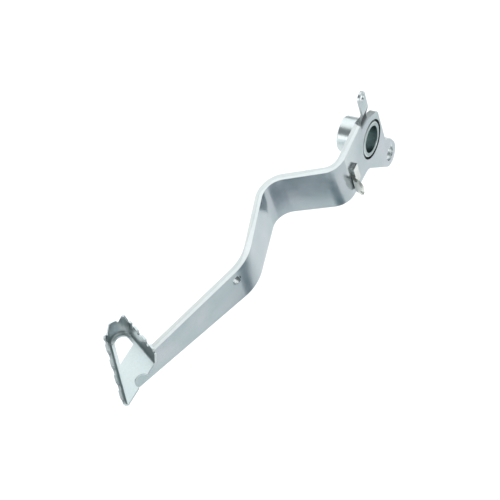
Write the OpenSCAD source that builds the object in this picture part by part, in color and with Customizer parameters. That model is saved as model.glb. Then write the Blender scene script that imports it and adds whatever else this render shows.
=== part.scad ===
// Rear brake pedal of a motorbike, welded from one folded arm plate, a pivot tube,
// a serrated toe plate and a small spring hook.
// X runs from the pivot towards the toe, Y is the pivot axis, Z is up.
// The origin is the middle of the pivot bore, on the outer face of the arm plate.

/* [Arm plate] */
// Thickness of the steel plate
plate_t = 4.5; // [3:0.25:6]
// Height of the arm at the first bend
arm_h_root = 36; // [30:1:42]
// Height of the arm where it enters the toe plate
arm_h_toe = 17; // [13:1:22]
// Height of the arm's middle line above the pivot
arm_mid_z = 4; // [2:0.5:6]

/* [Bends] */
// Distance from the pivot to the first bend
bend_1_x = 44; // [41:1:52]
// Length of the run that steps across, between bends 1 and 2
run_cross = 47; // [42:1:60]
// Length of the middle run, between bends 2 and 3
run_middle = 57; // [50:1:75]
// Length of the last run, from bend 3 to its end under the toe plate
run_toe = 103; // [85:1:130]
// Angle of the run that steps across, below the line of the hub plate
cross_angle = 65; // [45:1:70]
// Angle of the middle run, back towards the hub plate's side
middle_angle = 14; // [0:1:20]
// Angle of the last run, away from the hub plate's side
toe_angle = 22; // [10:1:26]
// Outer radius of bend 1
bend_1_r = 15; // [10:0.5:16]
// Inner radius of bend 2
bend_2_r = 14; // [8:0.5:18]
// Outer radius of bend 3
bend_3_r = 34; // [20:1:50]

/* [Hub plate] */
// Distance from the pivot to the rear side of the head
head_r = 15.5; // [15.5:0.5:18]
// Distance from the pivot to the rear lug's hole
lug_reach = 39.5; // [36:0.5:46]
// Angle of the rear lug, from straight down towards the rear
lug_angle = 25; // [15:1:35]
// Radius of the rear lug's round end
lug_r = 9; // [8:0.5:10]
// Slope of the lug's front side
lug_slope = 50; // [45:1:58]
// Diameter of the rear lug's hole
lug_hole_d = 10; // [6:0.5:12]
// Radius of the fillets where the outline turns inwards
outline_fillet = 4; // [3:0.5:5]

/* [Spring tongue] */
// Width of the tongue above the hub
tongue_w = 8.5; // [7:0.5:10]
// Height of the tongue's hole above the pivot
tongue_hole_z = 46; // [43:1:52]
// Diameter of the tongue's hole
tongue_hole_d = 5; // [3:0.5:5.5]
// Distance that the tongue steps outwards
tongue_step = 3; // [1:0.5:4]

/* [Arm hole] */
// Diameter of the small hole in the arm
arm_hole_d = 6.5; // [4:0.5:7]
// Distance of that hole from bend 3, along the arm
arm_hole_run = 11.5; // [9:0.5:20]
// Height of that hole above the arm's middle line
arm_hole_up = 6; // [0:0.5:6.5]

/* [Pivot tube] */
// Diameter of the bore
bore_d = 18; // [15:0.5:20]
// Wall of the tube
tube_wall = 3; // [2:0.25:4]
// Length of the tube
tube_l = 20; // [16:1:40]
// Chamfer round the outer edges of the tube's ends
tube_chamfer = 0.6; // [0.3:0.1:1]
// Width of the groove round the tube in the plate's outer face
groove_w = 1.4; // [0.8:0.1:1.8]
// Depth of that groove
groove_depth = 2; // [1:0.25:2.5]

/* [Toe plate] */
// Thickness of the toe plate's sheet
toe_t = 1.5; // [1.2:0.1:2.5]
// Distance from the arm's end back to the toe plate's rear wall
toe_back = 19; // [16:0.5:24]
// Angle by which the toe plate is turned on the arm
toe_turn = 6; // [0:1:12]
// Slope of the toe plate from the arm's top edge, up towards the front
toe_tilt = 10; // [0:1:14]
// Radius of the round inner end, inside the wall
toe_end_r = 6; // [5:0.2:8]
// Distance from the arm's middle to the centre of that round end
toe_end_reach = 16.5; // [14:0.5:20]
// Angle by which the front wall spreads from the rear wall
toe_spread = 19; // [14:1:24]
// Slant of the open outer edge to the arm
toe_skew = 28; // [18:1:32]
// Distance of the outer edge from the arm's middle, at the rear wall
toe_outer = 10; // [7:0.5:12]
// Width of the solid floor between the outer edge and the mud hole
toe_floor_w = 18.8; // [16:0.2:21]
// Width of the flange that is left round the mud hole
toe_flange_w = 1.4; // [0.8:0.1:2]
// Radius of the notch in the outer edge
toe_notch_r = 5; // [3.5:0.5:6]
// Distance of the notch from the rear wall, along the outer edge
toe_notch_run = 12.5; // [10:0.5:16]
// Lean of the walls out of the upright
wall_flare = 12; // [5:1:25]
// Inner radius of the fold at the foot of the walls
wall_fold_r = 1.2; // [0.8:0.2:2.4]
// Length of the rear wall from the fold to the tips of its teeth
rear_wall_l = 9; // [7:0.2:10]
// The same length of the front wall, at its inner end
front_inner_l = 6; // [5:0.2:9]
// The same length of the front wall, at its outer end
front_outer_l = 3.2; // [3:0.2:8]
// The same length at the tallest tooth of the round inner end
end_wall_l = 12; // [10:0.5:14]
// Depth of the gaps between the side teeth
tooth_l = 2.4; // [1.5:0.1:2.8]
// Width of the relief slots between the round end and the straight walls
relief_w = 0.4; // [0.2:0.1:1]
// Number of teeth on the rear wall
rear_teeth = 3; // [3:1:5]
// Number of teeth on the front wall
front_teeth = 4; // [4:1:6]

/* [Spring hook] */
// Thickness of the hook's sheet
hook_t = 2.2; // [1.5:0.1:3]
// Width of the leg that lies on the hub plate
hook_leg_w = 9; // [7:0.5:11]
// Height of that leg
hook_leg_h = 14; // [12:0.5:16]
// Distance from the pivot to the hook's fold
hook_x = 35; // [34:0.5:37]
// Length of the ear that stands out of the hub plate
hook_ear_l = 6; // [5:0.5:10]
// Angle of the ear out of the hub plate
hook_fold = 68; // [60:1:90]
// Height of the ear
hook_ear_h = 12; // [10:0.5:13]
// Diameter of the ear's hole
hook_hole_d = 3.5; // [2:0.25:4]

/* [Welds] */
// Leg of the weld fillets
weld_leg = 2.5; // [1.5:0.25:3.5]

/* [Hidden] */
$fn = 64;

zinc = [0.80, 0.84, 0.87];
zinc_dark = [0.62, 0.67, 0.70];
zinc_warm = [0.84, 0.85, 0.76];
bead_grey = [0.70, 0.72, 0.73];
cut = 0.5;
// Width of the strip of floor that comes with each wall, and that the floor laps by half
lap = 0.4;

// Plan of the arm's outer face: four straight runs that meet at three corners,
// each corner rounded by its bend radius.
run_angles = [0, -cross_angle, middle_angle, -toe_angle];
run_lengths = [bend_1_x, run_cross, run_middle, run_toe];
bend_radii = [bend_1_r, bend_2_r, bend_3_r];
function along(a) = [cos(a), sin(a)];
function corner(i) = i == 0 ? [0, 0] : corner(i - 1) + run_lengths[i - 1] * along(run_angles[i - 1]);
function turn(i) = run_angles[i + 1] - run_angles[i];

arm_end = corner(4);
// The arm's height falls evenly along X, from bend 1 to its end.
taper = (arm_h_root - arm_h_toe) / 2 / (arm_end[0] - bend_1_x);
function arm_top(x) = arm_mid_z + arm_h_root / 2 - (x - bend_1_x) * taper;
function arm_low(x) = 2 * arm_mid_z - arm_top(x);

// Outer diameter of the pivot tube, and of its seat in the plate
tube_d = bore_d + 2 * tube_wall;
lug = lug_reach * [-sin(lug_angle), -cos(lug_angle)];
tongue_x = tongue_w / 2 - 0.75;
tongue_base_z = arm_top(tongue_x);

// A closed outline from corners [x, y, radius], each rounded by an arc.
function unit(v) = v / norm(v);
function arc_points(p, c, n, steps) =
    let (
        r = c[2],
        v = [c[0], c[1]],
        a = unit([p[0], p[1]] - v),
        b = unit([n[0], n[1]] - v),
        half = acos(max(-1, min(1, a * b))) / 2,
        centre = v + unit(a + b) * r / sin(half),
        from = v + a * r / tan(half) - centre,
        to = v + b * r / tan(half) - centre,
        start = atan2(from[1], from[0]),
        sweep = atan2(from[0] * to[1] - from[1] * to[0], from * to)
    )
    r == 0 ? [v] : [for (k = [0:steps]) centre + r * along(start + sweep * k / steps)];
function rounded(corners, steps = 8) =
    let (last = len(corners) - 1)
    [for (i = [0:last])
        each arc_points(corners[i == 0 ? last : i - 1], corners[i], corners[i == last ? 0 : i + 1], steps)];

// Plan of the folded plate in X and Y: its outer face out, and its inner face back.
// A corner that turns towards one side is wider on the other side by the plate's thickness.
function face_corner(i, depth, radius) =
    let (
        before = run_angles[max(i - 1, 0)],
        after = run_angles[min(i, 3)],
        half = (after - before) / 2,
        shift = depth / cos(half) * along(before + half - 90)
    )
    concat(corner(i) + shift, radius);
function face_radius(i, depth) = bend_radii[i - 1] + sign(turn(i - 1)) * depth;
function face_line(depth) =
    [for (i = [0:4]) face_corner(i, depth, i == 0 || i == 4 ? 0 : face_radius(i, depth))];
function hub_end(depth) = [-2 * lug_reach, -depth, 0];
function backwards(list) = [for (i = [len(list) - 1:-1:0]) list[i]];
function tail(list) = [for (i = [1:len(list) - 1]) list[i]];
module plate_plan() {
    polygon(rounded(concat(
        [hub_end(0)], tail(face_line(0)), backwards(tail(face_line(plate_t))), [hub_end(plate_t)]
    ), 14));
}

// Side view of the whole plate in X and Z: round head, rear lug and the long taper of the arm.
// Under the toe plate it stands higher, for the toe plate's seat to be cut from it.
module side_outline() {
    lug_side = unit([-lug[1], lug[0]]);
    lug_end = unit(lug);
    front = along(lug_slope - 90);
    tip = lug + lug_r / (1 + lug_end * front) * (lug_end + front);
    t = (arm_low(tip[0]) - tip[1]) / (sin(lug_slope) - taper * cos(lug_slope));
    far = arm_end[0] + plate_t;
    polygon(rounded([
        [far, arm_top(far) + 3 * plate_t, 0],
        [toe_at[0], arm_top(toe_at[0]) + 3 * plate_t, 0],
        [toe_at[0], arm_top(toe_at[0]), 0],
        [tongue_x + tongue_w / 2 - 0.8, arm_top(tongue_x + tongue_w / 2 - 0.8), 0],
        [tongue_x - tongue_w / 2 + 0.8, arm_top(0) - 4.5, 0],
        [1 - head_r, 0.8 * head_r, outline_fillet + 1],
        [-head_r, -head_r - 4, outline_fillet],
        concat(lug - lug_r * lug_side - 8 * lug_end, outline_fillet),
        concat(lug - lug_r * lug_side + lug_r * lug_end, lug_r),
        concat(tip, lug_r),
        concat(tip + t * along(lug_slope), 2 * outline_fillet),
        [far, arm_low(far), 0]
    ]));
}

// Tongue for the return spring, stepped outwards from the plate, with a round end
module tongue() {
    low = tongue_base_z - 8;
    step_from = tongue_base_z + 1;
    step_to = step_from + 8;
    top = tongue_hole_z + tongue_w / 2;
    lean = tongue_step / (step_to - step_from);
    intersection() {
        translate([tongue_x - tongue_w / 2, 0, 0])
            rotate([90, 0, 90])
                linear_extrude(tongue_w)
                    polygon([
                        [-plate_t, low], [0, low], [0, step_from], [tongue_step, step_to], [tongue_step, top],
                        [tongue_step - plate_t, top],
                        [tongue_step - plate_t, step_to + plate_t * lean / 2],
                        [-plate_t, step_from + plate_t * lean / 2]
                    ]);
        translate([tongue_x, plate_t, 0])
            rotate([90, 0, 0])
                linear_extrude(3 * plate_t)
                    union() {
                        translate([0, tongue_hole_z])
                            circle(tongue_w / 2);
                        translate([-tongue_w / 2, low - cut])
                            square([tongue_w, tongue_hole_z - low + cut]);
                    }
    }
}

// A cylinder along Y through the plate, centred on [x, z]
module plate_hole(at, d, deep = 4 * plate_t) {
    translate([at[0], deep / 2, at[1]])
        rotate([90, 0, 0])
            cylinder(h = deep, d = d);
}

module pedal_arm() {
    hole = corner(3) + arm_hole_run * along(run_angles[3]);
    hole_z = arm_mid_z + arm_hole_up;
    color(zinc)
        difference() {
            union() {
                tongue();
                intersection() {
                    translate([0, 0, -2 * lug_reach])
                        linear_extrude(4 * lug_reach)
                            plate_plan();
                    translate([0, lug_reach, 0])
                        rotate([90, 0, 0])
                            linear_extrude(4 * lug_reach)
                                side_outline();
                }
            }
            toe_seat()
                translate([-wall_fold_r, -arm_h_root, 0])
                    cube([toe_back + arm_h_root, 2 * arm_h_root, arm_h_root]);
            plate_hole([0, 0], tube_d);
            translate([0, cut, 0])
                rotate([90, 0, 0])
                    cylinder(h = groove_depth + cut, d = tube_d + 2 * groove_w);
            plate_hole(lug, lug_hole_d);
            plate_hole([tongue_x, tongue_hole_z], tongue_hole_d);
            translate([hole[0], hole[1], hole_z])
                rotate([90, 0, run_angles[3]])
                    cylinder(h = 4 * plate_t, d = arm_hole_d, center = true);
        }
}

// Tube that turns on the frame's pivot shaft, welded into the hub plate
module pivot_tube() {
    r = tube_d / 2;
    c = tube_chamfer;
    color(zinc)
        rotate([90, 0, 0])
            rotate_extrude($fn = 128)
                polygon([
                    [bore_d / 2, 0], [r - c, 0], [r, c], [r, tube_l - c], [r - c, tube_l], [bore_d / 2, tube_l]
                ]);
}

// Seat of the toe plate on the arm: X along the last run, Z square to the plate's underside.
// Its origin is on the arm's middle line, at the foot of the rear wall.
toe_at = arm_end - toe_back * along(run_angles[3]) - plate_t / 2 * along(run_angles[3] + 90);
run_slope = atan(taper * cos(run_angles[3]));
module toe_seat() {
    translate([toe_at[0], toe_at[1], arm_top(toe_at[0])])
        rotate([0, 0, run_angles[3]])
            rotate([0, run_slope - toe_tilt, 0])
                children();
}

// Teeth of the round inner end: angle from the rear wall, foot width, tip width and length
end_teeth = [
    [8, 5, 3, rear_wall_l], [39, 12, 1.6, end_wall_l], [83, 12, 4, 0.72 * end_wall_l],
    [146, 6, 2.4, front_inner_l]
];
end_at = [toe_end_r, -toe_end_reach];
front_dir = along(90 - toe_spread);
front_out = along(-toe_spread);
skew_dir = along(toe_skew);
skew_in = along(toe_skew - 90);
rear_l = toe_end_reach + toe_outer;
// Distance along the front wall from the round end to the slanted outer edge
front_l = ([0, toe_outer] - (end_at + toe_end_r * front_out)) * skew_in / (front_dir * skew_in);
front_foot = end_at + toe_end_r * front_out;

// Region inside the walls, grown by d and cut by a line parallel to the outer edge
module toe_region(d, inset) {
    reach = 80;
    intersection() {
        union() {
            translate(end_at)
                circle(toe_end_r + d);
            polygon([
                end_at, [-d, end_at[1]], [-d, toe_outer + reach],
                front_foot + (front_l + reach) * front_dir + d * front_out,
                front_foot + d * front_out
            ]);
        }
        translate([0, toe_outer] + inset * skew_in)
            rotate(toe_skew)
                translate([-reach, -reach])
                    square([2 * reach, reach]);
    }
}

// Section of a wall: a strip of floor, the fold at the foot, then a straight flank that leans outwards.
// X is the distance out from the foot line, Y is the height over the floor's underside.
module wall_section(l) {
    fold = 90 - wall_flare;
    steps = 7;
    function bend(r, k) = [0, toe_t + wall_fold_r] + r * along(fold * k / steps - 90);
    polygon(concat(
        [[-lap, 0]],
        [for (k = [0:steps]) bend(wall_fold_r + toe_t, k)],
        [bend(wall_fold_r + toe_t, steps) + l * along(fold), bend(wall_fold_r, steps) + l * along(fold)],
        [for (k = [steps:-1:0]) bend(wall_fold_r, k)],
        [[-lap, toe_t]]
    ));
}

// Places a flat outline on the lean of a wall that stands along X, and extrudes it across the wall.
module on_lean() {
    translate([0, 0, toe_t + wall_fold_r])
        rotate([90 + wall_flare, 0, 0])
            translate([0, 0, -toe_end_r])
                linear_extrude(4 * toe_end_r)
                    children();
}

// A straight wall of length l along X, leaning towards -Y, with n teeth.
// Its tips run from the height a at X = 0 to the height b at the far end.
module straight_wall(l, n, a, b) {
    pitch = l / n;
    foot = 0.18 * pitch;
    top = 0.27 * pitch;
    low = -3 * toe_t;
    intersection() {
        rotate([90, 0, 90])
            linear_extrude(l)
                mirror([1, 0])
                    wall_section(max(a, b));
        on_lean()
            polygon(concat([[0, low]], [
                for (i = [0:n - 1], q = [[0, 1], [foot, 1], [top, 0], [pitch - top, 0], [pitch - foot, 1], [pitch, 1]])
                    let (x = i * pitch + q[0])
                    [x, a + (b - a) * x / l - q[1] * tooth_l]
            ], [[l, low]]));
    }
}

// Round inner end: the same section turned about the end's centre, with tall pointed teeth.
// A relief slot parts it from each straight wall, as where a straight fold meets a curved one.
module end_wall() {
    band = front_inner_l - tooth_l;
    slot = asin(relief_w / toe_end_r);
    intersection() {
        rotate([0, 0, 180 + slot])
            rotate_extrude(angle = 180 - toe_spread - 2 * slot, $fn = 96)
                translate([toe_end_r, 0])
                    wall_section(end_wall_l);
        union() {
            cylinder(h = toe_t + wall_fold_r + band * cos(wall_flare), r = 4 * toe_end_r);
            for (t = end_teeth)
                rotate([0, 0, 270 + t[0]])
                    translate([0, -toe_end_r, 0])
                        on_lean()
                            polygon([
                                [-t[1] / 2, band - 1], [t[1] / 2, band - 1], [t[2] / 2, t[3]], [-t[2] / 2, t[3]]
                            ]);
        }
    }
}

module toe_plate() {
    notch_at = [0, toe_outer] + toe_notch_run * skew_dir;
    color(zinc_dark)
        toe_seat()
            rotate([0, 0, -toe_turn]) {
                difference() {
                    linear_extrude(toe_t)
                        toe_region(-lap / 2, 0);
                    translate([0, 0, -cut])
                        linear_extrude(toe_t + 2 * cut)
                            toe_region(-toe_flange_w, toe_floor_w);
                    translate([notch_at[0], notch_at[1], -cut])
                        cylinder(h = toe_t + 2 * cut, r = toe_notch_r);
                }
                translate([0, toe_outer, 0])
                    rotate([0, 0, -90])
                        straight_wall(rear_l, rear_teeth, rear_wall_l, rear_wall_l);
                translate(end_at)
                    end_wall();
                translate(front_foot)
                    rotate([0, 0, 90 - toe_spread])
                        straight_wall(front_l, front_teeth, front_inner_l, front_outer_l);
            }
}

// Height of the top of the hook's leg, where its weld lies
hook_top = arm_mid_z + 4;

// Sheet hook on the hub plate: a leg welded flat, folded into an ear with a hole
module spring_hook() {
    fold_r = 1.2;
    leg_low = hook_top - hook_leg_h;
    fold_x = hook_x - fold_r - hook_t;
    ear_low = leg_low - 5;
    round_r = 0.7 * hook_ear_l;
    out = along(hook_fold);
    mid = along(hook_fold / 2 - 90) / cos(hook_fold / 2);
    centre = [fold_x, fold_r + hook_t];
    outer_corner = centre + (fold_r + hook_t) * mid;
    inner_corner = centre + fold_r * mid;
    ear_l = hook_ear_l + fold_r + hook_t;
    ear_y = (outer_corner + ear_l * out)[1];
    hole_mid = inner_corner + (ear_l - hook_ear_l / 2) * out;
    color(zinc_warm)
        difference() {
            union() {
                translate([hook_x - hook_leg_w, 0, leg_low])
                    cube([hook_leg_w - fold_r - hook_t, hook_t, hook_leg_h]);
                intersection() {
                    translate([0, 0, ear_low])
                        linear_extrude(hook_ear_h)
                            polygon(rounded([
                                [fold_x, 0, 0], concat(outer_corner, fold_r + hook_t),
                                concat(outer_corner + ear_l * out, 0), concat(inner_corner + ear_l * out, 0),
                                concat(inner_corner, fold_r), [fold_x, hook_t, 0]
                            ]));
                    translate([fold_x - 1, 0, 0])
                        rotate([90, 0, 90])
                            linear_extrude(3 * hook_ear_l)
                                polygon(rounded([
                                    [-1, ear_low, 0], [ear_y, ear_low, round_r],
                                    [ear_y, ear_low + hook_ear_h, round_r], [-1, ear_low + hook_ear_h, 0]
                                ], 16));
                }
            }
            translate([hole_mid[0], hole_mid[1], ear_low + hook_ear_h / 2 - 2])
                rotate([90, 0, hook_fold])
                    cylinder(h = 6 * hook_t, d = hook_hole_d, center = true);
        }
}

// Fillet weld between the tube and the inner face of the hub plate
module tube_weld() {
    color(bead_grey)
        translate([0, -plate_t, 0])
            rotate([90, 0, 0])
                rotate_extrude($fn = 96)
                    translate([tube_d / 2, 0])
                        polygon([[0, 0], [weld_leg, 0], [0.55 * weld_leg, 0.55 * weld_leg], [0, weld_leg]]);
}

// Fillet welds under the toe plate, one along each face of the arm
module toe_welds() {
    color(bead_grey)
        toe_seat()
            for (side = [-1, 1])
                translate([weld_leg, side * plate_t / 2, 0])
                    rotate([90, 0, 90])
                        linear_extrude(toe_back - 2 * weld_leg)
                            polygon(weld_leg * [[0, 0], [side, 0], [side / 2, -0.5], [0, -1]]);
}

// Weld along the top of the hook's leg
module hook_weld() {
    r = 1.4;
    color(bead_grey)
        translate([hook_x - hook_leg_w + 0.5, 0, hook_top])
            rotate([90, 0, 90])
                linear_extrude(hook_leg_w - 4)
                    intersection() {
                        circle(r);
                        square(2 * r);
                    }
}

pedal_arm();
pivot_tube();
toe_plate();
spring_hook();
tube_weld();
toe_welds();
hook_weld();
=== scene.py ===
from math import cos, pi, radians, sin

import bmesh
import bpy
from mathutils import Matrix, Vector, noise


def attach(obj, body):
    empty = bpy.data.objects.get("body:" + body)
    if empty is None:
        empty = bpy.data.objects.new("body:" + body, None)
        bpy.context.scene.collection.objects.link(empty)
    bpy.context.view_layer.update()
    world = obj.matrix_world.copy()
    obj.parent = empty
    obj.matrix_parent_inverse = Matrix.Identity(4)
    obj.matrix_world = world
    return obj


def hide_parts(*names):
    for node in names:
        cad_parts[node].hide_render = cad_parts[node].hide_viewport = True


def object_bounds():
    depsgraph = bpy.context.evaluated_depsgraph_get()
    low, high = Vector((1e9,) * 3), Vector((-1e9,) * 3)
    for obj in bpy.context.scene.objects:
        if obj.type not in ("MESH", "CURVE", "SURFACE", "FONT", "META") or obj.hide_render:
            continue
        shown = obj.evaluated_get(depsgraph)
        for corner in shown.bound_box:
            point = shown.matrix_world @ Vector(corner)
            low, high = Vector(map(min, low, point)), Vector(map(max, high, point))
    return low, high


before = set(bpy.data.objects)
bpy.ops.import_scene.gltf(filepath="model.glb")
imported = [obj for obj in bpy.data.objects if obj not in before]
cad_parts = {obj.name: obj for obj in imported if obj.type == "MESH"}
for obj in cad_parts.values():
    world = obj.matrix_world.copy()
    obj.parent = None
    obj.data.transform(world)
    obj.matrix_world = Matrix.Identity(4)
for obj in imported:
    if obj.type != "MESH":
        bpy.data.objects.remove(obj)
cad_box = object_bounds()

# The camera looks down on the outer side of the pedal from its pivot end.
# Its place and turn come from lines and circles of the pedal in the photograph.
camera_eye = Vector((0.4526, 0.3042, 0.6483))
camera_right = Vector((-0.4249, 0.8742, -0.2351))
camera_up = Vector((-0.7961, -0.2372, 0.5567))
camera_back = Vector((0.4309, 0.4237, 0.7967))
camera_data = bpy.data.cameras.new("camera")
camera_data.sensor_width = 36
camera_data.lens = 93.6
camera = bpy.data.objects.new("camera", camera_data)
turned = Matrix((camera_right, camera_up, camera_back)).transposed().to_4x4()
camera.matrix_world = Matrix.Translation(camera_eye) @ turned
bpy.context.scene.collection.objects.link(camera)
bpy.context.scene.camera = camera
bpy.context.scene.view_settings.view_transform = "Standard"

# Plain pale floor, well below the pedal, which hangs on its pivot in use.
# Four soft boxes give the zinc its bright bands, and a sun that reflections don't show lights the floor.
# A dark card that only reflections show gives the arm's middle its dark upper edge.
floor_drop = 0.30
floor_size = 8.0
floor_middle = 0.1
floor_mesh = bpy.data.meshes.new("floor")
floor_form = bmesh.new()
bmesh.ops.create_grid(floor_form, x_segments=1, y_segments=1, size=floor_size / 2)
floor_form.to_mesh(floor_mesh)
floor_form.free()
floor = bpy.data.objects.new("floor", floor_mesh)
floor.location = (floor_middle, 0, cad_box[0][2] - floor_drop)
bpy.context.scene.collection.objects.link(floor)
floor_finish = bpy.data.materials.new("floor_paper")
floor_finish.use_nodes = True
floor_shader = floor_finish.node_tree.nodes["Principled BSDF"]
floor_shader.inputs["Base Color"].default_value = (0.86, 0.87, 0.87, 1)
floor_shader.inputs["Roughness"].default_value = 0.9
floor_shader.inputs["Specular IOR Level"].default_value = 0.1
floor_mesh.materials.append(floor_finish)

pedal_middle = Vector((0.1, -0.03, 0))


def soft_box(name, direction, distance, width, height, brightness):
    """An area light in that direction, turned to the pedal. Brightness is what a mirror would show."""
    data = bpy.data.lights.new(name, "AREA")
    data.shape = "RECTANGLE"
    data.size = width
    data.size_y = height
    data.energy = brightness * pi * width * height
    light = bpy.data.objects.new(name, data)
    light.location = pedal_middle + Vector(direction).normalized() * distance
    light.rotation_euler = Vector(direction).to_track_quat("Z", "Y").to_euler()
    bpy.context.scene.collection.objects.link(light)


soft_box("soft_box_left", (-0.58, -0.46, 0.64), distance=1.3, width=1.15, height=1.7, brightness=1.42)
soft_box("soft_box_right", (0.88, -0.42, 0.27), distance=1.0, width=0.5, height=0.86, brightness=2.2)
soft_box("soft_box_top", (0.05, 0.30, 1.0), distance=1.4, width=0.8, height=0.8, brightness=0.8)
soft_box("soft_box_back", (-0.25, -1.0, 0.10), distance=1.1, width=1.1, height=0.7, brightness=1.8)

sun_direction = Vector((-0.2, -0.15, 1))
floor_light_data = bpy.data.lights.new("floor_light", "SUN")
floor_light_data.energy = 2.05
floor_light_data.angle = radians(25)
floor_light = bpy.data.objects.new("floor_light", floor_light_data)
floor_light.rotation_euler = sun_direction.to_track_quat("Z", "Y").to_euler()
floor_light.visible_glossy = False
bpy.context.scene.collection.objects.link(floor_light)

# The card's outline is where sight lines, mirrored by the dark parts of the arm, cross its height.
dark_card_height = -0.08
dark_card_corners = [(0.145, -0.060), (0.132, -0.033), (0.120, -0.012), (0.108, 0.007), (0.088, 0.021)]
dark_card_corners += [(0.055, 0.024), (0.052, 0.044), (0.085, 0.058), (0.112, 0.046), (0.126, 0.020)]
dark_card_corners += [(0.142, 0.000), (0.165, -0.013), (0.19, -0.030), (0.19, -0.060)]
dark_card_mesh = bpy.data.meshes.new("dark_card")
dark_card_mesh.from_pydata(
    [(x, y, dark_card_height) for x, y in dark_card_corners], [], [range(len(dark_card_corners))]
)
dark_card = bpy.data.objects.new("dark_card", dark_card_mesh)
bpy.context.scene.collection.objects.link(dark_card)
dark_finish = bpy.data.materials.new("dark_card")
dark_finish.use_nodes = True
dark_shader = dark_finish.node_tree.nodes["Principled BSDF"]
dark_shader.inputs["Base Color"].default_value = (0.19, 0.24, 0.27, 1)
dark_shader.inputs["Roughness"].default_value = 0.9
dark_card_mesh.materials.append(dark_finish)
dark_card.visible_camera = False
dark_card.visible_diffuse = False
dark_card.visible_shadow = False

world = bpy.data.worlds.new("studio")
world.use_nodes = True
world_nodes = world.node_tree.nodes
room = world_nodes["Background"]
room.inputs["Color"].default_value = (0.90, 0.98, 1.0, 1)
room.inputs["Strength"].default_value = 0.26
pale_wall = world_nodes.new("ShaderNodeBackground")
pale_wall.inputs["Color"].default_value = (0.88, 0.90, 0.91, 1)
ray_kind = world_nodes.new("ShaderNodeLightPath")
room_or_wall = world_nodes.new("ShaderNodeMixShader")
world.node_tree.links.new(ray_kind.outputs["Is Camera Ray"], room_or_wall.inputs["Fac"])
world.node_tree.links.new(room.outputs["Background"], room_or_wall.inputs[1])
world.node_tree.links.new(pale_wall.outputs["Background"], room_or_wall.inputs[2])
world.node_tree.links.new(room_or_wall.outputs["Shader"], world_nodes["World Output"].inputs["Surface"])
bpy.context.scene.world = world

# Folded arm plate: one 4.5 mm steel blank, stamped out and folded three times, then zinc plated.
# The plating is a satin blue-white with faint lilac and cyan clouds; the sheared edges are lighter, partly
# their own finish and partly painted highlight.


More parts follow.
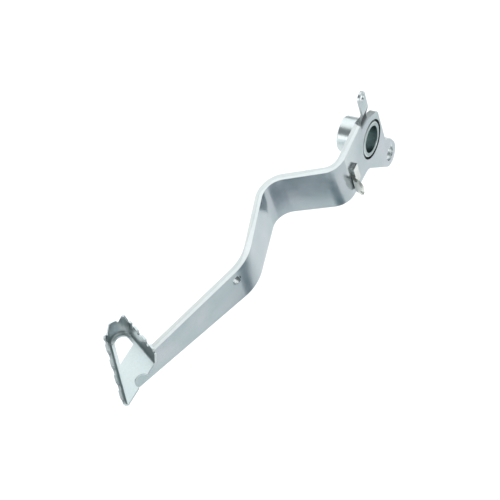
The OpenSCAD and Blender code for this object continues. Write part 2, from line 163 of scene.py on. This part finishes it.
def zinc_plating_group():
    """Shared effect: colour, roughness and normal of zinc plating over rolled steel."""
    group = bpy.data.node_groups.new("zinc_plating", "ShaderNodeTree")
    add = group.interface.new_socket
    for name, default in (("Cool Tone", (0.5, 0.56, 0.6, 1)), ("Warm Tone", (0.6, 0.62, 0.66, 1))):
        add(name, in_out="INPUT", socket_type="NodeSocketColor").default_value = default
    for name, default in (("Cloud Scale", 30), ("Dullness", 0.34), ("Grain", 0.2), ("Edge Shine", 1)):
        add(name, in_out="INPUT", socket_type="NodeSocketFloat").default_value = default
    add("Color", in_out="OUTPUT", socket_type="NodeSocketColor")
    add("Roughness", in_out="OUTPUT", socket_type="NodeSocketFloat")
    add("Normal", in_out="OUTPUT", socket_type="NodeSocketVector")
    nodes, link = group.nodes, group.links.new
    given = nodes.new("NodeGroupInput")
    result = nodes.new("NodeGroupOutput")
    place = nodes.new("ShaderNodeTexCoord")

    clouds = nodes.new("ShaderNodeTexNoise")
    clouds.inputs["Detail"].default_value = 3
    link(place.outputs["Object"], clouds.inputs["Vector"])
    link(given.outputs["Cloud Scale"], clouds.inputs["Scale"])
    spread = nodes.new("ShaderNodeMapRange")
    spread.inputs["From Min"].default_value = 0.35
    spread.inputs["From Max"].default_value = 0.65
    link(clouds.outputs["Fac"], spread.inputs["Value"])
    tone = nodes.new("ShaderNodeMix")
    tone.data_type = "RGBA"
    link(spread.outputs["Result"], tone.inputs["Factor"])
    link(given.outputs["Cool Tone"], tone.inputs[6])
    link(given.outputs["Warm Tone"], tone.inputs[7])

    speckle = nodes.new("ShaderNodeTexNoise")
    speckle.inputs["Scale"].default_value = 900
    speckle.inputs["Detail"].default_value = 4
    link(place.outputs["Object"], speckle.inputs["Vector"])
    speckled = nodes.new("ShaderNodeMix")
    speckled.data_type = "RGBA"
    speckled.blend_type = "MULTIPLY"
    speckle_tone = nodes.new("ShaderNodeMapRange")
    speckle_tone.inputs["To Min"].default_value = 0.86
    speckle_tone.inputs["To Max"].default_value = 1.08
    link(speckle.outputs["Fac"], speckle_tone.inputs["Value"])
    speckled.inputs["Factor"].default_value = 1
    link(tone.outputs[2], speckled.inputs[6])
    link(speckle_tone.outputs["Result"], speckled.inputs[7])

    bend = nodes.new("ShaderNodeNewGeometry")
    rubbed = nodes.new("ShaderNodeMapRange")
    rubbed.inputs["From Min"].default_value = 0.515
    rubbed.inputs["From Max"].default_value = 0.60
    link(bend.outputs["Pointiness"], rubbed.inputs["Value"])
    patchy = nodes.new("ShaderNodeMath")
    patchy.operation = "MULTIPLY"
    link(rubbed.outputs["Result"], patchy.inputs[0])
    link(clouds.outputs["Fac"], patchy.inputs[1])
    shine = nodes.new("ShaderNodeMath")
    shine.operation = "MULTIPLY"
    link(patchy.outputs[0], shine.inputs[0])
    link(given.outputs["Edge Shine"], shine.inputs[1])
    bright = nodes.new("ShaderNodeMix")
    bright.data_type = "RGBA"
    bright.inputs[7].default_value = (0.74, 0.78, 0.78, 1)
    link(shine.outputs[0], bright.inputs["Factor"])
    link(speckled.outputs[2], bright.inputs[6])
    link(bright.outputs[2], result.inputs["Color"])

    dull = nodes.new("ShaderNodeTexNoise")
    dull.inputs["Scale"].default_value = 120
    dull.inputs["Detail"].default_value = 5
    link(place.outputs["Object"], dull.inputs["Vector"])
    dull_range = nodes.new("ShaderNodeMapRange")
    dull_range.inputs["To Min"].default_value = -0.07
    dull_range.inputs["To Max"].default_value = 0.07
    link(dull.outputs["Fac"], dull_range.inputs["Value"])
    rough = nodes.new("ShaderNodeMath")
    link(given.outputs["Dullness"], rough.inputs[0])
    link(dull_range.outputs["Result"], rough.inputs[1])
    link(rough.outputs[0], result.inputs["Roughness"])

    swell = nodes.new("ShaderNodeTexNoise")
    swell.inputs["Scale"].default_value = 70
    swell.inputs["Detail"].default_value = 2
    link(place.outputs["Object"], swell.inputs["Vector"])
    waves = nodes.new("ShaderNodeBump")
    waves.inputs["Strength"].default_value = 0.12
    waves.inputs["Distance"].default_value = 0.0004
    link(swell.outputs["Fac"], waves.inputs["Height"])
    grain = nodes.new("ShaderNodeBump")
    grain.inputs["Distance"].default_value = 0.00012
    link(given.outputs["Grain"], grain.inputs["Strength"])
    link(speckle.outputs["Fac"], grain.inputs["Height"])
    link(waves.outputs["Normal"], grain.inputs["Normal"])
    link(grain.outputs["Normal"], result.inputs["Normal"])
    return group


zinc_plating = zinc_plating_group()


def plated(name, cool, warm, cloud_scale, dullness, grain):
    """A zinc-plated steel: metal whose colour, gloss and grain come from the shared plating group."""
    finish = bpy.data.materials.new(name)
    finish.use_nodes = True
    tree = finish.node_tree
    shader = tree.nodes["Principled BSDF"]
    shader.inputs["Metallic"].default_value = 1
    plating = tree.nodes.new("ShaderNodeGroup")
    plating.node_tree = zinc_plating
    plating.inputs["Cool Tone"].default_value = (*cool, 1)
    plating.inputs["Warm Tone"].default_value = (*warm, 1)
    plating.inputs["Cloud Scale"].default_value = cloud_scale
    plating.inputs["Dullness"].default_value = dullness
    plating.inputs["Grain"].default_value = grain
    tree.links.new(plating.outputs["Color"], shader.inputs["Base Color"])
    tree.links.new(plating.outputs["Roughness"], shader.inputs["Roughness"])
    tree.links.new(plating.outputs["Normal"], shader.inputs["Normal"])
    return finish


same_point = 2e-6
flat_turn = radians(0.4)
sharp_turn = radians(32)
shading_turn = radians(40)


def softened(node, name, radius, finish, reshape=None):
    """A copy of a CAD node whose sharp edges are rolled over by radius; it takes the node's place."""
    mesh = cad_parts[node].data.copy()
    mesh.name = name
    mesh.materials.clear()
    mesh.materials.append(finish)
    form = bmesh.new()
    form.from_mesh(mesh)
    for face in form.faces:
        face.material_index = 0
    bmesh.ops.remove_doubles(form, verts=form.verts, dist=same_point)
    bmesh.ops.dissolve_limit(form, angle_limit=flat_turn, verts=form.verts, edges=form.edges)
    if reshape:
        reshape(form)
    form.normal_update()
    sharp = [e for e in form.edges if len(e.link_faces) == 2 and e.calc_face_angle() > sharp_turn]
    bmesh.ops.bevel(
        form, geom=sharp, offset=radius, segments=3, profile=0.5, affect="EDGES", clamp_overlap=True
    )
    for face in form.faces:
        face.smooth = True
    form.to_mesh(mesh)
    form.free()
    mesh.set_sharp_from_angle(angle=shading_turn)
    piece = bpy.data.objects.new(name, mesh)
    bpy.context.scene.collection.objects.link(piece)
    shading = piece.modifiers.new("even_shading", "WEIGHTED_NORMAL")
    shading.keep_sharp = True
    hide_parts(node)
    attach(piece, "root")
    return piece


# The spring tongue is drawn out to thin sheet, level with the plate's outer side as it steps outwards.
tongue_middle = 0.0035
tongue_half_width = 0.0055
tongue_foot = 0.0248
tongue_step = (0.0253, 0.0333)
tongue_offset = 0.003
plate_thickness = 0.0045
tongue_thickness = 0.0015


def thin_tongue(form):
    """Moves the inner side of the tongue towards its outer side."""
    for vertex in form.verts:
        x, y, z = vertex.co
        if z > tongue_foot and abs(x - tongue_middle) < tongue_half_width:
            rise = min(max((z - tongue_step[0]) / (tongue_step[1] - tongue_step[0]), 0), 1)
            outer = tongue_offset * rise
            vertex.co.y = outer - (outer - y) * tongue_thickness / plate_thickness


arm_edge_radius = 0.0009
arm_face = plated(
    "arm_face", (0.355, 0.44, 0.46), (0.435, 0.475, 0.51), cloud_scale=42, dullness=0.21, grain=0.15
)
# Sheared edges get a lighter zinc: partly their own finish, partly painted highlight.
arm_cut_with_painted_highlight = plated(
    "arm_cut_with_painted_highlight", (0.52, 0.565, 0.575), (0.58, 0.615, 0.62), cloud_scale=60, dullness=0.30, grain=0.45
)
arm = softened("pedal_arm", "arm_plate", arm_edge_radius, arm_face, thin_tongue)
arm.data.materials.append(arm_cut_with_painted_highlight)
# Dark material for the pivot groove: painted shade.
groove_painted_shade = plated(
    "groove_painted_shade", (0.09, 0.11, 0.11), (0.18, 0.20, 0.20), cloud_scale=200, dullness=0.5, grain=0.6
)
arm.data.materials.append(groove_painted_shade)

# A face that looks out of the plate less than the limit is a sheared edge. The groove's faces get a dark
# material, painted shade.
head_end = 0.036
sheared_limit = 0.55
groove_radii = (0.0119, 0.0138)
groove_top = -0.0002
cut_depth = arm.data.uv_layers.new(name="cut_depth")
for face in arm.data.polygons:
    out_of_plate = face.normal.y if face.center.x < head_end else face.normal.xy.length
    from_pivot = [arm.data.vertices[i].co.xz.length for i in face.vertices]
    in_groove = groove_radii[0] <= min(from_pivot) and max(from_pivot) <= groove_radii[1]
    if abs(out_of_plate) < sheared_limit:
        face.material_index = 1
    if in_groove and face.center.y < groove_top:
        face.material_index = 2
    for corner in face.loop_indices:
        outer = arm.data.vertices[arm.data.loops[corner].vertex_index].normal.y > 0
        cut_depth.data[corner].uv = (0.5, 1 if outer else 0)

# Across a sheared edge, a wavy line parts the smooth band from the torn one. Along that line the colour is
# painted dark, a painted shade between the edge's two highlights; the torn band is a little darker too.
torn_waviness = 0.14
cut_nodes = arm_cut_with_painted_highlight.node_tree.nodes
cut_links = arm_cut_with_painted_highlight.node_tree.links
cut_shader = cut_nodes["Principled BSDF"]
cut_plating = cut_shader.inputs["Base Color"].links[0].from_node
across = cut_nodes.new("ShaderNodeUVMap")
across.uv_map = "cut_depth"
across_parts = cut_nodes.new("ShaderNodeSeparateXYZ")
cut_links.new(across.outputs["UV"], across_parts.inputs["Vector"])
cut_place = cut_nodes.new("ShaderNodeTexCoord")
torn_edge = cut_nodes.new("ShaderNodeTexNoise")
torn_edge.inputs["Scale"].default_value = 350
cut_links.new(cut_place.outputs["Object"], torn_edge.inputs["Vector"])
wavy = cut_nodes.new("ShaderNodeMath")
wavy.operation = "MULTIPLY_ADD"
wavy.inputs[1].default_value = torn_waviness
cut_links.new(torn_edge.outputs["Fac"], wavy.inputs[0])
cut_links.new(across_parts.outputs["Y"], wavy.inputs[2])
torn = cut_nodes.new("ShaderNodeMapRange")
torn.interpolation_type = "SMOOTHSTEP"
torn.inputs["From Min"].default_value = 0.64
torn.inputs["From Max"].default_value = 0.46
cut_links.new(wavy.outputs[0], torn.inputs["Value"])
painted_shade_line = cut_nodes.new("ShaderNodeValToRGB")
painted_shade_line.color_ramp.elements[0].position = 0.25
painted_shade_line.color_ramp.elements[0].color = (1, 1, 1, 1)
painted_shade_line.color_ramp.elements[1].position = 0.75
painted_shade_line.color_ramp.elements[1].color = (0.90, 0.90, 0.89, 1)
painted_shade_line.color_ramp.elements.new(0.5).color = (0.62, 0.63, 0.63, 1)
cut_links.new(torn.outputs["Result"], painted_shade_line.inputs["Fac"])
painted_shade_lined = cut_nodes.new("ShaderNodeMix")
painted_shade_lined.data_type = "RGBA"
painted_shade_lined.blend_type = "MULTIPLY"
painted_shade_lined.inputs["Factor"].default_value = 1
cut_links.new(cut_plating.outputs["Color"], painted_shade_lined.inputs[6])
cut_links.new(painted_shade_line.outputs["Color"], painted_shade_lined.inputs[7])
cut_links.new(painted_shade_lined.outputs[2], cut_shader.inputs["Base Color"])
torn_bump = cut_nodes.new("ShaderNodeBump")
torn_bump.inputs["Strength"].default_value = 0.35
torn_bump.inputs["Distance"].default_value = 0.00025
torn_bump.invert = True
cut_links.new(torn.outputs["Result"], torn_bump.inputs["Height"])
cut_links.new(cut_plating.outputs["Normal"], torn_bump.inputs["Normal"])
cut_links.new(torn_bump.outputs["Normal"], cut_shader.inputs["Normal"])

# Painted shade: the arm's colour is darkened at the tongue's foot, where it is set outwards, and made duller
# and less metallic there.
# A limit's numbers are where the painted shade is full, and where it ends.
tongue_painted_shade_dullness_extra = 0.45
face_nodes = arm_face.node_tree.nodes
face_links = arm_face.node_tree.links
face_shader = face_nodes["Principled BSDF"]
face_plating = face_shader.inputs["Base Color"].links[0].from_node
face_place = face_nodes.new("ShaderNodeTexCoord")
face_parts = face_nodes.new("ShaderNodeSeparateXYZ")
face_links.new(face_place.outputs["Object"], face_parts.inputs["Vector"])
from_tongue = face_nodes.new("ShaderNodeMath")
from_tongue.operation = "SUBTRACT"
from_tongue.inputs[1].default_value = tongue_middle
face_links.new(face_parts.outputs["X"], from_tongue.inputs[0])
sideways = face_nodes.new("ShaderNodeMath")
sideways.operation = "ABSOLUTE"
face_links.new(from_tongue.outputs[0], sideways.inputs[0])
tongue_painted_shade_limits = (
    (sideways.outputs[0], 0.0036, 0.0060),
    (face_parts.outputs["Z"], 0.0240, 0.0180),
    (face_parts.outputs["Z"], 0.0325, 0.0338),
)
tongue_painted_shade_masks = []
for source, full, none in tongue_painted_shade_limits:
    mask = face_nodes.new("ShaderNodeMapRange")
    mask.interpolation_type = "SMOOTHSTEP"
    mask.inputs["From Min"].default_value = none
    mask.inputs["From Max"].default_value = full
    face_links.new(source, mask.inputs["Value"])
    tongue_painted_shade_masks.append(mask.outputs["Result"])
tongue_painted_shade = tongue_painted_shade_masks[0]
for mask in tongue_painted_shade_masks[1:]:
    both = face_nodes.new("ShaderNodeMath")
    both.operation = "MULTIPLY"
    face_links.new(tongue_painted_shade, both.inputs[0])
    face_links.new(mask, both.inputs[1])
    tongue_painted_shade = both.outputs[0]
tongue_painted_shade_colour = face_nodes.new("ShaderNodeMix")
tongue_painted_shade_colour.data_type = "RGBA"
tongue_painted_shade_colour.inputs[7].default_value = (0.055, 0.075, 0.078, 1)
face_links.new(tongue_painted_shade, tongue_painted_shade_colour.inputs["Factor"])
face_links.new(face_plating.outputs["Color"], tongue_painted_shade_colour.inputs[6])
face_links.new(tongue_painted_shade_colour.outputs[2], face_shader.inputs["Base Color"])
tongue_painted_shade_dullness = face_nodes.new("ShaderNodeMath")
tongue_painted_shade_dullness.operation = "MULTIPLY_ADD"
tongue_painted_shade_dullness.inputs[1].default_value = tongue_painted_shade_dullness_extra
face_links.new(tongue_painted_shade, tongue_painted_shade_dullness.inputs[0])
face_links.new(face_plating.outputs["Roughness"], tongue_painted_shade_dullness.inputs[2])
face_links.new(tongue_painted_shade_dullness.outputs[0], face_shader.inputs["Roughness"])
tongue_painted_shade_metal = face_nodes.new("ShaderNodeMath")
tongue_painted_shade_metal.operation = "SUBTRACT"
tongue_painted_shade_metal.inputs[0].default_value = 1
face_links.new(tongue_painted_shade, tongue_painted_shade_metal.inputs[1])
face_links.new(tongue_painted_shade_metal.outputs[0], face_shader.inputs["Metallic"])

# Pivot tube: drawn steel tube, faced and chamfered on a lathe, set through the plate before welding.
# Its outside keeps fine turning lines; its bore is reamed, and its dark colour is partly a film of old
# grease and partly painted shade.
tube_finish = plated(
    "tube_zinc", (0.53, 0.60, 0.61), (0.61, 0.66, 0.66), cloud_scale=40, dullness=0.30, grain=0.2
)
tube_nodes = tube_finish.node_tree.nodes
tube_links = tube_finish.node_tree.links
tube_place = tube_nodes.new("ShaderNodeTexCoord")
turning_lines = tube_nodes.new("ShaderNodeTexWave")
turning_lines.bands_direction = "Y"
turning_lines.inputs["Scale"].default_value = 420
turning_lines.inputs["Distortion"].default_value = 1.2
turning_lines.inputs["Detail"].default_value = 3
tube_links.new(tube_place.outputs["Object"], turning_lines.inputs["Vector"])
turned_bump = tube_nodes.new("ShaderNodeBump")
turned_bump.inputs["Strength"].default_value = 0.25
turned_bump.inputs["Distance"].default_value = 0.00006
tube_links.new(turning_lines.outputs["Fac"], turned_bump.inputs["Height"])
tube_plating = tube_nodes["Principled BSDF"].inputs["Base Color"].links[0].from_node
tube_links.new(tube_plating.outputs["Normal"], turned_bump.inputs["Normal"])
tube_links.new(turned_bump.outputs["Normal"], tube_nodes["Principled BSDF"].inputs["Normal"])
# Darker bore colour: partly grease film, partly painted shade.
bore_grease_and_shade_finish = plated(
    "bore_grease_and_painted_shade", (0.26, 0.34, 0.35), (0.38, 0.45, 0.45), cloud_scale=160, dullness=0.30, grain=0.5
)
tube_edge_radius = 0.0004
tube = softened("pivot_tube", "tube", tube_edge_radius, tube_finish)
tube.data.materials.append(bore_grease_and_shade_finish)
bore_radius = 0.009
bore_margin = 0.0003
for face in tube.data.polygons:
    if face.center.xz.length < bore_radius + bore_margin:
        face.material_index = 1

# Toe plate: thin steel sheet, cut with teeth, folded up round its edge and welded on the arm's end.
# The boot rubs its tooth tips bright; the folds keep dull zinc.
toe_finish = plated(
    "toe_zinc", (0.47, 0.545, 0.555), (0.52, 0.58, 0.59), cloud_scale=60, dullness=0.34, grain=0.25
)
toe_edge_radius = 0.0003
softened("toe_plate", "toe_tread", toe_edge_radius, toe_finish)

# Spring hook: a folded scrap of steel sheet, welded to the plate, that takes the return spring's end.
# It is plated in another batch, so its zinc is a little warmer; its ear is painted lighter than its leg, a
# painted highlight.
hook_finish = plated(
    "hook_zinc", (0.58, 0.60, 0.56), (0.66, 0.67, 0.60), cloud_scale=80, dullness=0.26, grain=0.2
)
hook_edge_radius = 0.0004
hook = softened("spring_hook", "hook", hook_edge_radius, hook_finish)
hook_ear_painted_highlight = plated(
    "hook_ear_painted_highlight", (0.86, 0.88, 0.84), (0.92, 0.93, 0.88), cloud_scale=120, dullness=0.52, grain=0.3
)
hook.data.materials.append(hook_ear_painted_highlight)
# Faces of the ear get the lighter material: a painted highlight.
leg_front = 0.0026
leg_foot = -0.0045
for face in hook.data.polygons:
    if face.center.y > leg_front or face.center.z < leg_foot:
        face.material_index = 1

# Weld beads: one run of filler round the tube, two short runs under the toe plate, one above the hook's leg.
# Each is a row of frozen ripples, plated over with the rest. The short runs are domed at both ends.
bead_finish = plated(
    "bead_zinc", (0.40, 0.445, 0.46), (0.50, 0.53, 0.53), cloud_scale=150, dullness=0.38, grain=0.5
)
arc_steps = 8
root_depth = 0.0001
dome_legs = 0.9
end_height = 0.12
ripple_lag = 0.55
ripple_depth = 0.16
unevenness = 0.05
unevenness_scale = 900
flat_height = 0.93
crown_height = 0.10
ripple_shading = radians(50)


def bead(name, roots, leg, closed, pitch, node):
    """A rippled fillet. Each root is a point of the corner, and the two directions that lead out of it."""
    form = bmesh.new()
    length = sum((roots[i + 1][0] - roots[i][0]).length for i in range(len(roots) - 1))
    rows = []
    travelled = 0
    for i, (corner, out, down) in enumerate(roots):
        travelled += (corner - roots[i - 1][0]).length if i else 0
        to_end = min(travelled, length - travelled) / (dome_legs * leg)
        dome = 1 if closed else (1 - (1 - min(to_end, 1)) ** 2) ** 0.5
        row = [form.verts.new(corner - (out + down) * root_depth)]
        for k in range(arc_steps + 1):
            turn = k / arc_steps * pi / 2
            ripple = (travelled / pitch + ripple_lag * sin(2 * turn)) % 1
            rough_spot = unevenness * noise.noise(corner * unevenness_scale + out * k)
            swell = 1 - ripple_depth * ripple**2 + rough_spot
            crown = flat_height + crown_height * sin(2 * turn)
            reach = leg * (end_height + (1 - end_height) * dome) * swell * crown
            row.append(form.verts.new(corner + (out * cos(turn) + down * sin(turn)) * reach))
        rows.append(row)
    pairs = list(zip(rows, rows[1:]))
    if closed:
        pairs.append((rows[-1], rows[0]))
    for near, far in pairs:
        for k in range(len(near)):
            step = (k + 1) % len(near)
            form.faces.new((near[k], near[step], far[step], far[k]))
    if not closed:
        form.faces.new(rows[0][::-1])
        form.faces.new(rows[-1])
    bmesh.ops.recalc_face_normals(form, faces=form.faces)
    for face in form.faces:
        face.smooth = True
    mesh = bpy.data.meshes.new(name)
    form.to_mesh(mesh)
    form.free()
    mesh.set_sharp_from_angle(angle=ripple_shading)
    mesh.materials.append(bead_finish)
    piece = bpy.data.objects.new(name, mesh)
    bpy.context.scene.collection.objects.link(piece)
    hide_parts(node)
    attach(piece, "root")


bead_leg = 0.0025
tube_radius = 0.012
tube_ripples = 44
tube_bead_pitch = 2 * pi * tube_radius / tube_ripples
tube_bead_roots = []
for degree in range(360):
    turn = radians(degree)
    radial = Vector((cos(turn), 0, sin(turn)))
    corner = radial * tube_radius + Vector((0, -plate_thickness, 0))
    tube_bead_roots.append((corner, radial, Vector((0, -1, 0))))
bead("tube_bead", tube_bead_roots, bead_leg, closed=True, pitch=tube_bead_pitch, node="tube_weld")

toe_bead_steps = 70
toe_bead_pitch = 0.0017
toe_bead_lines = (
    ("toe_bead_inner", (0.19767, -0.06538, 0.01383), (0.21055, -0.07058, 0.01555), (-0.376, -0.926, 0)),
    ("toe_bead_outer", (0.19935, -0.06120, 0.01383), (0.21224, -0.06641, 0.01555), (0.376, 0.926, 0)),
)
for name, start, end, out in toe_bead_lines:
    start, end, out = Vector(start), Vector(end), Vector(out)
    along = (end - start).normalized()
    down = out.cross(along)
    down = down if down.z < 0 else -down
    roots = [(start.lerp(end, i / toe_bead_steps), out, down) for i in range(toe_bead_steps + 1)]
    bead(name, roots, bead_leg, closed=False, pitch=toe_bead_pitch, node="toe_welds")

hook_bead_leg = 0.0014
hook_bead_pitch = 0.0011
hook_bead_start = 0.0265
hook_bead_length = 0.005
hook_bead_height = 0.008
hook_bead_steps = 40
hook_bead_roots = []
for i in range(hook_bead_steps + 1):
    along = hook_bead_start + hook_bead_length * i / hook_bead_steps
    hook_bead_roots.append((Vector((along, 0, hook_bead_height)), Vector((0, 1, 0)), Vector((0, 0, 1))))
bead("hook_bead", hook_bead_roots, hook_bead_leg, closed=False, pitch=hook_bead_pitch, node="hook_weld")
